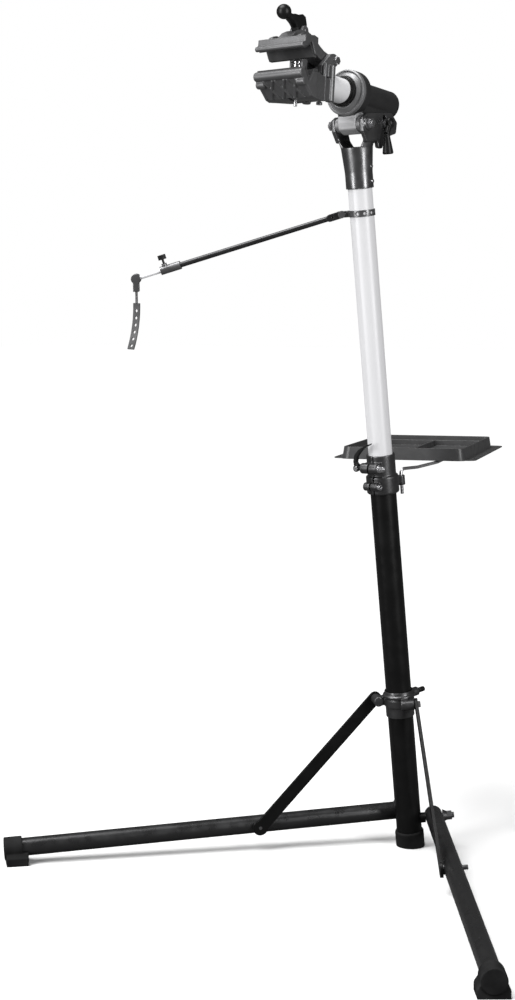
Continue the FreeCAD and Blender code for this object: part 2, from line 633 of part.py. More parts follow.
def make_lock_handle():
    tail = CHEEK_IN + CHEEK_THICK
    centre = Vector(-76.5, tail + 5.0 + 2 * GAP, -41.0)
    hub = rod(centre, centre + Y * 8, 9.0)
    hub = hub.makeFillet(1.5, [hub.Edges[0], hub.Edges[2]])
    grip_a = centre + Vector(9, 5, -20)
    grip_b = centre + Vector(3, 6, -53)
    neck = cone(centre + Vector(0, 5, 0), grip_a, 5.2, 5.0)
    grip = cone(grip_a, grip_b, 5.0, 9.6)
    grip = grip.makeFillet(2.5, [e for e in grip.Edges if e.BoundBox.ZMax < grip_b.z + 5][:1])
    handle = fuse(hub, neck, grip)
    handle = handle.cut(rod(centre - Y * 5, centre + Y * 30, 4.0 + FIT))
    keep("lock_handle", put(handle, HEAD))


# --- clamp jaws -----------------------------------------------------------------------
LOW_JAW = [(138, 2), (147, 2), (159, -16), (169, 0), (172, 2), (176, 2), (181, -5), (173, -14),
           (167, -20), (147, -38), (138, -40)]
LOW_PAD = [(138, 2), (147, 2), (159, -16), (169, 0), (172, 2), (172, 5), (168, 4.5),
           (159, -12), (148.5, 5), (138, 5)]
TOP_JAW = [(140, 28), (146, 28), (157, 47), (169, 38), (173, 36.5), (177, 36.5), (177, 43),
           (174, 44.5), (174, 54), (150, 58), (140, 56)]
TOP_PAD = [(140, 28), (146, 28), (157, 47), (169, 38), (173, 36.5), (173, 33.5), (168, 35),
           (157.5, 42.5), (147, 24.5), (140, 24.5)]
DECK_SIDE = [(64, 4), (64, -27), (100, -36), (138, -40), (138, 4)]
TUBE_SEAT = 71.5           # end of the clamp tube, in the back wall of the lower jaw


def make_lower_jaw():
    rail = profile(LOW_JAW, -JAW_HALF, JAW_HALF)
    lip = rod(Vector(174.7, -JAW_HALF, -5.7), Vector(174.7, JAW_HALF, -5.7), 7.4)
    bulge = rod(Vector(168.5, -JAW_HALF, -17.5), Vector(168.5, -JAW_HALF + 15, -17.5), 6.5)
    plan = slab([Vector(64, -24, -50), Vector(96, -32, -50), Vector(138, -45, -50),
                 Vector(138, 45, -50), Vector(96, 32, -50), Vector(64, 24, -50)], Z * 60)
    deck = profile(DECK_SIDE, -45, 45).common(plan)
    corners = [rod(Vector(70.4, y, -31), Vector(70.4, y, 28), 7.0) for y in (23.4, -23.4)]
    edges = [rod(Vector(96, y, -35), Vector(96, y, 27), 3.0) for y in (30.5, -30.5)]
    wall = block(Vector(63, -24, -27), Vector(75, 24, 26))
    ears = []
    for low, high in ((15, 24), (-24, -15)):
        ears.append(profile([(63, 8), (96, 8), (96, 24), (74, 46), (64, 48.5), (53, 45),
                             (50, 37), (62, 24)], low, high, 3.0))
    over_nut = NUT_K + NUT_HALF + GAP
    posts = [block(Vector(ROD_H - 9, y, 2), Vector(ROD_H + 4, y + 4, over_nut + 3)) for y in (-13, 9)]
    bridge = block(Vector(ROD_H - 9, -13, over_nut), Vector(ROD_H + 4, 13, over_nut + 3))
    body = fuse(rail, lip, bulge, mirrored(bulge), deck, wall, *corners, *edges, *ears, *posts,
                bridge)
    side = ROD_R + 1.0
    slot = block(Vector(ROD_H - 10, -side, -60), Vector(ROD_H + 17, side, -8))
    throat = block(Vector(ROD_H - 7, -side, -20), Vector(ROD_H + 9, side, 15))
    over = block(Vector(ROD_H - 10, -side, 15), Vector(ROD_H + 12, side, 60))
    hollow = block(Vector(79, -20, -45), Vector(116, 20, -4))
    body = body.cut(slot).cut(throat).cut(over).cut(hollow)
    body = body.cut(rod(X * 40, X * TUBE_SEAT, UPPER_R))
    pin_at = Vector(HINGE_H, 0, HINGE_K)
    body = body.cut(rod(pin_at - Y * 40, pin_at + Y * 40, 4.0))
    bolt = Vector(66.8, 0, 0)
    body = body.cut(rod(bolt - Z * 40, bolt, 3.0))
    body = fuse(body, *truss_ribs())
    keep("lower_jaw", put(body, HEAD))
    keep("lower_jaw_pad", put(profile(LOW_PAD, -JAW_HALF, JAW_HALF), HEAD))

    pin = rod(pin_at - Y * 27, pin_at + Y * 27, 4.0)
    ends = [hexagon(pin_at + Y * 24, Y, 12.0, 5.0).cut(pin),
            hexagon(pin_at - Y * 29, Y, 12.0, 5.0).cut(pin)]
    keep("jaw_hinge_pin", *[put(piece, HEAD) for piece in (pin, *ends)])
    tube = pipe(X * -BARREL_BACK, X * TUBE_SEAT, UPPER_R, UPPER_R - UPPER_WALL)
    tube = tube.cut(rod(bolt - Z * 40, bolt, 3.0))
    keep("clamp_tube", put(tube, HEAD))
    screw = rod(bolt - Z * 29.3, bolt - Z * 15, 3.0)
    head = rod(bolt - Z * 33.3, bolt - Z * 29.3, 5.0)
    keep("clamp_tube_bolt", put(fuse(screw, head), HEAD))


def truss_ribs():
    """Crossed ribs that stiffen the sloping front of the lower jaw."""
    ribs = []
    top, low = Vector(174.5, 0, -13.5), Vector(148, 0, -38.3)
    pitch = 19.0
    for start in (-33, -9.5, 14):
        for a, b in ((0, pitch), (pitch, 0)):
            p = Vector(top.x, start + a, top.z)
            q = Vector(low.x, start + b, low.z)
            ribs.append(rod(p, q, 2.2))
    for y in (-JAW_HALF + 4, JAW_HALF - 4):
        ribs.append(rod(Vector(173, y, -14), Vector(149, y, -37), 2.0))
    return ribs


def make_upper_jaw():
    rail = profile(TOP_JAW, -JAW_HALF, JAW_HALF)
    lip = rod(Vector(177.4, -JAW_HALF, 38), Vector(177.4, JAW_HALF, 38), 4.2)
    arch = [(58, 46.5), (68, 48), (80, 51), (90, 56), (100, 62), (110, 67.5), (120, 71.5),
            (132, 73.5), (146, 71), (158, 65), (170, 53), (140, 50), (116, 48), (104, 43), (92, 37),
            (80, 32.5), (70, 29.3), (60, 29.3)]
    arm = profile(arch, -14, 14, 2.0)
    humps = [profile([(138, 50), (172, 50), (166, 58), (156, 62.5), (144, 62), (138, 57)],
                     low, low + 8, 2.0) for low in (-32, 24)]
    knuckle = rod(Vector(HINGE_H, -14.7, HINGE_K), Vector(HINGE_H, 14.7, HINGE_K), 9.0)
    ears = [rod(Vector(ROD_H, low, CAM_K), Vector(ROD_H, low + 5, CAM_K), 8.0) for low in (-13, 8)]
    ear_feet = [block(Vector(ROD_H - 8, low, CAM_K - 12), Vector(ROD_H + 8, low + 5, CAM_K))
                for low in (-13, 8)]
    body = fuse(rail, lip, arm, knuckle, *humps, *ears, *ear_feet)
    pin_at = Vector(HINGE_H, 0, HINGE_K)
    body = body.cut(rod(pin_at - Y * 40, pin_at + Y * 40, 4.0 + FIT))
    cam_at = Vector(ROD_H, 0, CAM_K)
    body = body.cut(rod(cam_at - Y * 40, cam_at + Y * 40, 3.0))
    body = body.cut(block(Vector(ROD_H - 29, -7.6, CAM_K - 17), Vector(ROD_H + 20, 7.6, CAM_K + 20)))
    body = body.cut(block(Vector(ROD_H - 9, -ROD_R - 1, 20), Vector(ROD_H + 9, ROD_R + 1, CAM_K)))
    keep("upper_jaw", put(body, HEAD))
    keep("upper_jaw_pad", put(profile(TOP_PAD, -JAW_HALF + 3, JAW_HALF - 3), HEAD))
    pin = rod(cam_at - Y * 15, cam_at + Y * 15, 3.0)
    keep("cam_pin", put(pin, HEAD))


def make_cam():
    cam_at = Vector(ROD_H, 0, CAM_K)
    hub = rod(cam_at - Y * 7, cam_at + Y * 7, 11.0)
    shape = [(-10, 0), (-11, 12), (-7, 24), (1, 27), (10, 23.5), (22, 23.5), (28, 14), (20, 10),
             (14, 4), (10, -4)]
    body = [Vector(ROD_H + x, -7, CAM_K + z) for x, z in shape]
    knuckle = slab(body, Y * 14, 2.5)
    neck = cone(Vector(ROD_H + 10, 0, CAM_K + 11), Vector(ROD_H + 38, 0, CAM_K + 21), 8.6, 6.2)
    ball = Part.makeSphere(12.0, Vector(ROD_H + 42, 0, CAM_K + 22.3))
    handle = fuse(hub, knuckle, neck, ball)
    handle = handle.cut(rod(cam_at - Y * 20, cam_at + Y * 20, 3.0 + FIT))
    fork = 3.4
    handle = handle.cut(rod(cam_at - Y * fork, cam_at + Y * fork, 8.0))
    fan = [cam_at - Y * fork]
    for turn in (132, 165, 198, 231, 264, 298):
        way = polar(45, turn)
        fan.append(cam_at + Vector(way.x, -fork, way.y))
    handle = handle.cut(slab(fan, Y * 2 * fork))
    keep("cam_handle", put(handle, HEAD))

    eye = rod(cam_at - Y * 3.0, cam_at + Y * 3.0, 6.5)
    stem = rod(Vector(ROD_H, 0, -47), Vector(ROD_H, 0, CAM_K - 4), ROD_R)
    rod_solid = fuse(eye, stem).cut(rod(cam_at - Y * 9, cam_at + Y * 9, 3.0 + FIT))
    keep("clamp_rod", put(rod_solid, HEAD))

    nut_at = Vector(ROD_H, 0, NUT_K)
    nut = rod(nut_at - Z * NUT_HALF, nut_at + Z * NUT_HALF, NUT_R)
    nut = nut.makeFillet(0.8, [nut.Edges[0], nut.Edges[2]])
    nut = nut.cut(rod(nut_at - Z * 9, nut_at + Z * 9, ROD_R + 1.8))
    for i in range(6):
        way = polar(1, 60 * i)
        nut = nut.cut(rod(nut_at + way * 5.5, nut_at + way * 12, 1.8))
    keep("adjusting_nut", put(nut, HEAD))


# --- steadying arm ---------------------------------------------------------------------
ARM_OUT = U * polar(1, ARM_TURN).x + Y * polar(1, ARM_TURN).y
ARM_SIDE = W.cross(ARM_OUT)
DROP = math.radians(ARM_DROP)
ARM_DIR = ARM_OUT * math.cos(DROP) - W * math.sin(DROP)
ARM_UP = ARM_OUT * math.sin(DROP) + W * math.cos(DROP)
ARM_AT = W * BAND_W + ARM_OUT * ARM_PIVOT


def make_arm_band():
    local = frame(W * BAND_W, ARM_OUT, W)
    half = 5.5
    ring = pipe(Z * -half, Z * half, UPPER_R + 2.0, UPPER_R)
    tab_pairs = [(10, 19.7), (25, 2.2), (41, 2.2), (41, 0), (24, 0), (9, 17.9)]
    tabs = []
    for sign in (1, -1):
        points = [Vector(x, y * sign, -half) for x, y in tab_pairs]
        tabs.append(slab(points, Z * 2 * half))
    band = fuse(ring, *tabs)
    band = band.cut(rod(Z * -20, Z * 20, UPPER_R))
    for turn in (70, 105, 140, 180, 220, 255, 290):
        way = polar(1, turn)
        band = band.cut(rod(way * 15, way * 30, 2.6))
    band = put(band, local)
    band = band.cut(rod(ARM_AT - ARM_SIDE * 20, ARM_AT + ARM_SIDE * 20, 2.5))
    keep("arm_band", band)
    inner = FORK_IN + FORK_THICK + GAP
    bolt = rod(ARM_AT - ARM_SIDE * (inner + 2), ARM_AT + ARM_SIDE * inner, 2.5)
    head = rod(ARM_AT + ARM_SIDE * inner, ARM_AT + ARM_SIDE * (inner + 3.5), 6.0)
    nut = hexagon(ARM_AT - ARM_SIDE * (inner + 4), ARM_SIDE, 9.0, 4.0)
    keep("arm_band_bolt", fuse(bolt, head, nut))


def make_arm():
    start = ARM_AT + ARM_DIR * 17
    end = ARM_AT + ARM_DIR * TUBE_END
    outer = FORK_IN + FORK_THICK
    fork = strip([ARM_AT, ARM_AT + ARM_DIR * 21], ARM_SIDE, 12.0, 2 * outer)
    fork = fork.cut(strip([ARM_AT - ARM_DIR * 9, ARM_AT + ARM_DIR * 4], ARM_SIDE, 14.0, 2 * FORK_IN))
    bore = rod(start + ARM_DIR * 8, end, ARM_ROD_R + FIT)
    tube = pipe(start, end, ARM_TUBE_R, ARM_ROD_R + FIT)
    body = fuse(fork.cut(bore), tube)
    body = body.cut(rod(ARM_AT - ARM_SIDE * 20, ARM_AT + ARM_SIDE * 20, 2.5 + FIT))
    second = ARM_AT + ARM_DIR * 16
    body = body.cut(rod(second + ARM_SIDE * 2, second + ARM_SIDE * 20, 1.8))
    keep("arm_tube", body)
    low = ARM_AT + ARM_DIR * SLEEVE_LOW
    high = ARM_AT + ARM_DIR * SLEEVE_HIGH
    sleeve = pipe(low, high, 7.2, ARM_TUBE_R)
    bore = pipe(end, high, ARM_TUBE_R, ARM_ROD_R + FIT)
    boss_at = ARM_AT + ARM_DIR * SCREW_AT
    boss = rod(boss_at + ARM_UP * 6, boss_at + ARM_UP * 11, 4.5)
    sleeve = fuse(sleeve, bore, boss.cut(rod(low, high, 7.0)))
    sleeve = sleeve.cut(rod(boss_at, boss_at + ARM_UP * 20, 2.0 + FIT))
    keep("arm_sleeve", sleeve)

    stem = rod(boss_at + ARM_UP * (ARM_ROD_R + 0.1), boss_at + ARM_UP * 22, 2.0)
    knob = rod(boss_at + ARM_UP * 18, boss_at + ARM_UP * 26, 7.0)
    for i in range(10):
        way = ARM_DIR * math.cos(i * math.pi / 5) + ARM_SIDE * math.sin(i * math.pi / 5)
        at = boss_at + way * 7.8
        knob = knob.cut(rod(at + ARM_UP * 10, at + ARM_UP * 30, 1.6))
    keep("thumbscrew", fuse(stem, knob))

    tip = ARM_AT + ARM_DIR * SWIVEL_AT
    inner = rod(ARM_AT + ARM_DIR * 60, tip, ARM_ROD_R)
    eye = rod(tip - ARM_SIDE * 3.5, tip + ARM_SIDE * 3.5, 6.0)
    inner = fuse(inner, eye).cut(rod(tip - ARM_SIDE * 9, tip + ARM_SIDE * 9, 2.0 + FIT))
    keep("arm_rod", inner)
    make_end_strap(tip)


def make_end_strap(tip):
    fork = fuse(rod(tip + ARM_SIDE * 3.8, tip + ARM_SIDE * 6.3, 8.5),
                rod(tip - ARM_SIDE * 6.3, tip - ARM_SIDE * 3.8, 8.5),
                rod(tip - ARM_SIDE * 6.3, tip + ARM_SIDE * 6.3, 2.0))
    level = Z - ARM_SIDE * Z.dot(ARM_SIDE)
    local = frame(tip, ARM_SIDE.cross(level), level)
    yoke = [put(block(Vector(-5, low, -17), Vector(5, low + 2.5, 0)), local) for low in (3.8, -6.3)]
    bridge = put(block(Vector(-5, -6.3, -22), Vector(5, 6.3, -13.5)), local)
    neck = put(rod(Z * -42, Z * -20, 2.3), local)
    keep("strap_joint", fuse(fork, *yoke, bridge, neck))

    width = 6.5
    bow = 150.0
    centre = Vector(-bow, 0, -42)
    plan = pipe(centre - Y * width, centre + Y * width, bow + 1.3, bow - 1.3)
    wedge = [centre, centre + Vector(bow * 2, 0, 0), centre + Vector(bow * 2, 0, -bow * 1.2)]
    strap = plan.common(slab([p - Y * width for p in wedge], Y * 2 * width))
    for i in range(6):
        angle = math.radians(5.0 + 4.7 * i)
        way = Vector(math.cos(angle), 0, -math.sin(angle))
        strap = strap.cut(rod(centre + way * (bow - 5), centre + way * (bow + 5), 2.7))
    strap = strap.rotate(Vector(0, 0, -42), Z, 180 + STRAP_TURN)
    keep("end_strap", put(strap, local))


# --- tool tray --------------------------------------------------------------------------
TRAY_DEPTH_TURN = -157.0
TRAY_EDGE = Vector(-16.7, -34, 0)
TRAY_BACK = polar(1, TRAY_DEPTH_TURN)


def tray_frame():
    """Frame at the middle of the near edge: X across, Y away, Z up from the tray's base."""
    across = TRAY_BACK.cross(Z)
    return frame(TRAY_EDGE + Z * (TRAY_RIM - TRAY_HEIGHT), across, Z)


def tub(x_low, x_high, y_low, y_high, z_low, z_high, taper, corner=12.0):
    """Tapered rectangular block, narrower at the bottom by a taper on each side."""
    wires = []
    for z, inset in ((z_low, taper), (z_high, 0.0)):
        points = [Vector(x_low + inset, y_low + inset, z), Vector(x_high - inset, y_low + inset, z),
                  Vector(x_high - inset, y_high - inset, z), Vector(x_low + inset, y_high - inset, z)]
        wires.append(outline(points, corner))
    return Part.makeLoft(wires, True, True)


def make_tray():
    half = TRAY_WIDTH / 2
    depth = TRAY_DEPTH
    shell = tub(-half + 3, half - 3, 3, depth - 3, TRAY_HEIGHT, 0, 3.0, 14.0)
    wide = half + TRAY_FLANGE
    flange = slab([Vector(-wide, 14, 0), Vector(wide, 14, 0), Vector(wide, depth + 30, 0),
                   Vector(-wide, depth + 30, 0)], Z * FLANGE_THICK, 14.0)
    body = fuse(shell, flange)
    top = TRAY_HEIGHT + 1
    pockets = [tub(-half + 12, half - 12, 112, depth - 12, TRAY_WALL, top, 2.5, 8.0),
               tub(-28, half - 12, 12, 106, TRAY_WALL, top, 2.5, 8.0),
               cone(Vector(-64, 60, 8), Vector(-64, 60, top), 28, 31),
               tub(-half + 8.5, half - 8.5, 8.5, depth - 8.5, TRAY_LEDGE, top, 0.8, 10.0)]
    for pocket in pockets:
        body = body.cut(pocket)
    divider = block(Vector(-2, 112, TRAY_WALL), Vector(2, depth - 12, TRAY_LEDGE))
    body = fuse(body, divider)
    for side in (-1, 1):
        for i in range(TOOL_HOLES):
            at = Vector(side * (half + TRAY_FLANGE / 2), 48 + 54 * i, 0)
            body = body.cut(rod(at - Z * 5, at + Z * 10, TOOL_HOLE_R))
    keep("tray", put(body, tray_frame()))


def make_tray_wire():
    socket = U * polar(SOCKET_OUT, SOCKET_TURN).x + Y * polar(SOCKET_OUT, SOCKET_TURN).y
    local = tray_frame()
    lift = Z * (-WIRE_R)
    points = [socket + W * 636, socket + W * 680,
              local.multVec(Vector(34, -30, -9)),
              local.multVec(Vector(62, 12, 0) + lift),
              local.multVec(Vector(62, 220, 0) + lift),
              local.multVec(Vector(-62, 220, 0) + lift),
              local.multVec(Vector(-62, 60, 0) + lift)]
    keep("tray_wire", bent_wire(points, 9.0, WIRE_R))


make_mast()
make_mast_clamp()
make_quick_release()
make_slider()
make_leg("left", lambda shape: shape)
make_leg("right", mirrored)
make_upper_mast()
make_yoke()
make_head()
make_lock_handle()
make_lower_jaw()
make_upper_jaw()
make_cam()
make_arm_band()
make_arm()
make_tray()
make_tray_wire()

os.makedirs("parts", exist_ok=True)
for name, shape in PARTS.items():
    shape.exportStep("parts/" + name + ".step")
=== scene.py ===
import json
import math

import bpy
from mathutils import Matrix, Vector


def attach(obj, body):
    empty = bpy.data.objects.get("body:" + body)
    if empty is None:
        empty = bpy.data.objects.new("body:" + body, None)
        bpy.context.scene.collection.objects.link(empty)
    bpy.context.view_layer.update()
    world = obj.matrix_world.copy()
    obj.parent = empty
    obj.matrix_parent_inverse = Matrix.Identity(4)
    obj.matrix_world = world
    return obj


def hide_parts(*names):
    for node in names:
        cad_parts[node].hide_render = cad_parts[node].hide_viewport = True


# A folding bicycle repair stand. Lengths are in metres, in the part's own frame.
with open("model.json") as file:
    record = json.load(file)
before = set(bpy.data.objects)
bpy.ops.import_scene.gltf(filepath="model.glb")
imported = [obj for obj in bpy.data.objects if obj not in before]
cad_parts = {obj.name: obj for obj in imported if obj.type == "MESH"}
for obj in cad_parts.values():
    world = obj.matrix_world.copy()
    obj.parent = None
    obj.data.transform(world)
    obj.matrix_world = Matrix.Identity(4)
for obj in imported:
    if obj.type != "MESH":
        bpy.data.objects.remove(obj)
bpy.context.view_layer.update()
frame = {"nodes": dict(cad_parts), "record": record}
MM = 0.001

BODY_OF = {}
for body, members in frame["record"]["behaviour"]["bodies"].items():
    for member in members:
        BODY_OF[member] = body
SLOT_OF = {row["node"]: row["material_slot"] for row in frame["record"]["subparts"]}


# --- materials ---------------------------------------------------------------------
class Look:
    """A Principled material, with the few node recipes that the finishes share."""

    def __init__(self, name, metallic=0.0, specular=0.5, coat=0.0, coat_roughness=0.1):
        self.material = bpy.data.materials.new(name)
        self.material.use_nodes = True
        self.tree = self.material.node_tree
        self.shader = self.tree.nodes["Principled BSDF"]
        self.shader.inputs["Metallic"].default_value = metallic
        self.shader.inputs["Specular IOR Level"].default_value = specular
        self.shader.inputs["Coat Weight"].default_value = coat
        self.shader.inputs["Coat Roughness"].default_value = coat_roughness
        self.coords = self.node("ShaderNodeTexCoord").outputs["Object"]

    def node(self, kind):
        return self.tree.nodes.new(kind)

    def feed(self, socket, value):
        if isinstance(value, (int, float, tuple)):
            socket.default_value = value
        else:
            self.tree.links.new(value, socket)

    def stretched(self, scale, turn=(0.0, 0.0, 0.0)):
        """Object coordinates, turned and then scaled by a different amount along each axis."""
        mapping = self.node("ShaderNodeMapping")
        mapping.vector_type = "TEXTURE"
        mapping.inputs["Rotation"].default_value = turn
        mapping.inputs["Scale"].default_value = tuple(1.0 / s for s in scale)
        self.feed(mapping.inputs["Vector"], self.coords)
        return mapping.outputs["Vector"]

    def noise(self, scale, detail=3.0, roughness=0.55, coords=None):
        noise = self.node("ShaderNodeTexNoise")
        noise.inputs["Scale"].default_value = scale
        noise.inputs["Detail"].default_value = detail
        noise.inputs["Roughness"].default_value = roughness
        self.feed(noise.inputs["Vector"], coords or self.coords)
        return noise.outputs["Fac"]

    def distance_from(self, place):
        """Distance of the surface from an axis along Y through a place."""
        flat = self.node("ShaderNodeVectorMath")
        flat.operation = "MULTIPLY"
        self.feed(flat.inputs[0], self.coords)
        flat.inputs[1].default_value = (1.0, 0.0, 1.0)
        away = self.node("ShaderNodeVectorMath")
        away.operation = "DISTANCE"
        self.feed(away.inputs[0], flat.outputs["Vector"])
        away.inputs[1].default_value = (place[0], 0.0, place[2])
        return away.outputs["Value"]

    def cells(self, scale):
        cells = self.node("ShaderNodeTexVoronoi")
        cells.feature = "F1"
        cells.inputs["Scale"].default_value = scale
        self.feed(cells.inputs["Vector"], self.coords)
        return cells.outputs["Distance"]

    def remap(self, value, low, high, to_low=0.0, to_high=1.0):
        remap = self.node("ShaderNodeMapRange")
        remap.interpolation_type = "SMOOTHSTEP"
        self.feed(remap.inputs["Value"], value)
        remap.inputs["From Min"].default_value = low
        remap.inputs["From Max"].default_value = high
        remap.inputs["To Min"].default_value = to_low
        remap.inputs["To Max"].default_value = to_high
        return remap.outputs["Result"]

    def maths(self, operation, a, b=0.0):
        maths = self.node("ShaderNodeMath")
        maths.operation = operation
        maths.use_clamp = operation in ("ADD", "SUBTRACT")
        self.feed(maths.inputs[0], a)
        self.feed(maths.inputs[1], b)
        return maths.outputs[0]

    def blend(self, factor, a, b):
        mix = self.node("ShaderNodeMix")
        mix.data_type = "RGBA"
        self.feed(mix.inputs["Factor"], factor)
        self.feed(mix.inputs["A"], grey(a) if isinstance(a, float) else a)
        self.feed(mix.inputs["B"], grey(b) if isinstance(b, float) else b)
        return mix.outputs["Result"]

    def soft_edges(self, radius):
        """Normals rounded over the edges, and a mask that is 1 along the edges."""
        bevel = self.node("ShaderNodeBevel")
        bevel.samples = 6
        bevel.inputs["Radius"].default_value = radius
        flat = self.node("ShaderNodeNewGeometry").outputs["Normal"]
        dot = self.node("ShaderNodeVectorMath")
        dot.operation = "DOT_PRODUCT"
        self.feed(dot.inputs[0], bevel.outputs["Normal"])
        self.feed(dot.inputs[1], flat)
        mask = self.remap(dot.outputs["Value"], 0.985, 0.80)
        return bevel.outputs["Normal"], mask

    def bump(self, height, distance, strength=1.0, normal=None):
        bump = self.node("ShaderNodeBump")
        bump.inputs["Strength"].default_value = strength
        bump.inputs["Distance"].default_value = distance
        self.feed(bump.inputs["Height"], height)
        if normal is not None:
            self.feed(bump.inputs["Normal"], normal)
        return bump.outputs["Normal"]

    def finish(self, colour, roughness, normal):
        self.feed(self.shader.inputs["Base Color"], colour)
        self.feed(self.shader.inputs["Roughness"], roughness)
        self.feed(self.shader.inputs["Normal"], normal)
        return self.material


def grey(value):
    """A neutral colour, very slightly cool."""
    return (value, value, value * 1.02, 1.0)


def powder_coat(name, colour, roughness, grain=1.0, specular=0.30, metallic=0.0):
    """Baked powder coat: fine orange peel, cloudy gloss, dust specks, and rubbed edges lightened in
    patches, which are also a painted edge highlight.
    """
    look = Look(name, metallic=metallic, specular=specular)
    rounded, edge = look.soft_edges(0.7 * MM)
    cloud = look.noise(14.0, 4.0)
    dust = look.remap(look.noise(900.0, 2.0), 0.66, 0.74)
    peel = look.noise(1400.0, 2.0)
    # worn edges, lightened in patches; the same lightening is also a painted highlight along the
    # edges
    wear_and_edge_highlight = look.maths("MULTIPLY", edge, look.remap(look.noise(160.0, 4.0), 0.42, 0.62))
    base = look.blend(cloud, colour * 0.8, colour * 1.25)
    base = look.blend(look.maths("MULTIPLY", dust, 0.12), base, 0.10)
    base = look.blend(look.maths("MULTIPLY", wear_and_edge_highlight, 0.35), base, colour * 2.0 + 0.10)
    gloss = look.remap(look.noise(45.0, 5.0), 0.3, 0.7, roughness - 0.06, roughness + 0.08)
    normal = look.bump(peel, 0.05 * MM * grain, 0.55, rounded)
    normal = look.bump(look.noise(260.0, 2.0), 0.03 * MM * grain, 0.4, normal)
    return look.finish(base, gloss, normal)


def cast_finish(name, colour, roughness, grain=1.0, edge_wear_and_highlight_tone=0.32, metallic=0.0, patch=None):
    """Painted or bead-blasted casting: a sandy skin, darker patches that follow its lumps, and
    bright rubbed edges that are also a painted edge highlight.

    A patch is the place, reach and colour of a face left bare.
    """
    look = Look(name, metallic=metallic, specular=0.4)
    rounded, edge = look.soft_edges(0.9 * MM)
    sand = look.cells(1500.0)
    lumps = look.noise(220.0, 5.0)
    cloud = look.noise(22.0, 4.0)
    base = look.blend(cloud, colour * 0.72, colour * 1.3)
    # darker patches where the lumps noise is high, on the raised parts of the bumped skin
    base = look.blend(look.remap(lumps, 0.55, 0.8, 0.0, 0.35), base, colour * 0.55)
    if patch is not None:
        place, reach, bare = patch
        near = look.remap(look.distance_from(place), reach + 0.5 * MM, reach)
        base = look.blend(near, base, look.blend(lumps, bare * 0.8, bare * 1.1))
    # worn edges, lightened in patches toward a pale tone; the same lightening is also a painted
    # highlight along the edges
    wear_and_edge_highlight = look.maths("MULTIPLY", edge, look.remap(look.noise(210.0, 5.0), 0.36, 0.6))
    base = look.blend(look.maths("MULTIPLY", wear_and_edge_highlight, 0.6), base, edge_wear_and_highlight_tone)
    gloss = look.remap(lumps, 0.3, 0.7, roughness - 0.05, roughness + 0.1)
    normal = look.bump(sand, 0.06 * MM * grain, 0.5, rounded)
    normal = look.bump(lumps, 0.08 * MM * grain, 0.5, normal)
    return look.finish(base, gloss, normal)


def drawn_aluminium(name, colour, roughness, lean):
    """Satin anodised tube: faint lines left by drawing run along its axis."""
    look = Look(name, metallic=0.1, specular=0.25)
    turn = (0.0, math.radians(lean), 0.0)
    lines = look.noise(1.0, 2.0, coords=look.stretched((1900.0, 1900.0, 9.0), turn))
    bands = look.noise(1.0, 2.0, coords=look.stretched((150.0, 150.0, 2.0), turn))
    cloud = look.noise(11.0, 4.0)
    base = look.blend(bands, colour * 0.97, colour)
    base = look.blend(look.remap(lines, 0.62, 0.8, 0.0, 0.25), base, colour * 0.9)
    gloss = look.remap(cloud, 0.3, 0.7, roughness - 0.03, roughness + 0.05)
    normal = look.bump(lines, 0.012 * MM, 0.5, look.soft_edges(0.4 * MM)[0])
    return look.finish(base, gloss, normal)


def plated(name, colour, roughness):
    """Bright plating on fasteners: faint swirl marks, a slightly uneven skin and a painted
    highlight along the edges.
    """
    look = Look(name, metallic=1.0)
    rounded, edge = look.soft_edges(0.35 * MM)
    swirl = look.noise(700.0, 4.0, 0.7)
    base = look.blend(look.noise(90.0, 3.0), colour * 0.88, colour)
    # painted highlight: every edge is lightened toward near white
    base = look.blend(look.maths("MULTIPLY", edge, 0.4), base, 0.95)
    gloss = look.remap(swirl, 0.35, 0.7, roughness, roughness + 0.12)
    return look.finish(base, gloss, look.bump(swirl, 0.01 * MM, 0.5, rounded))


def bare_steel(name, colour, roughness):
    """Drawn steel wire and rod: short scratches and dull patches."""
    look = Look(name, metallic=1.0)
    rounded = look.soft_edges(0.4 * MM)[0]
    scratches = look.noise(420.0, 6.0, 0.75)
    patches = look.noise(38.0, 4.0)
    base = look.blend(patches, colour * 0.8, colour)
    gloss = look.remap(scratches, 0.3, 0.7, roughness - 0.06, roughness + 0.1)
    return look.finish(base, gloss, look.bump(scratches, 0.02 * MM, 0.5, rounded))


def moulded_plastic(name, colour, roughness, grain=1.0, specular=0.3):
    """Injection-moulded plastic: leathery grain, soft sheen and pale rubbed edges, which are also a
    painted edge highlight.
    """
    look = Look(name, specular=specular)
    rounded, edge = look.soft_edges(0.8 * MM)
    leather = look.cells(750.0)
    flow = look.noise(9.0, 3.0)
    base = look.blend(flow, colour * 0.85, colour * 1.2)
    # rubbed edges, lightened in patches; the same lightening is also a painted highlight along the
    # edges
    rub_and_edge_highlight = look.maths("MULTIPLY", edge, look.remap(look.noise(120.0, 4.0), 0.4, 0.65))
    base = look.blend(look.maths("MULTIPLY", rub_and_edge_highlight, 0.35), base, colour * 2.6 + 0.03)
    gloss = look.remap(look.noise(60.0, 4.0), 0.3, 0.7, roughness - 0.05, roughness + 0.08)
    normal = look.bump(leather, 0.05 * MM * grain, 0.55, rounded)
    return look.finish(base, gloss, normal)


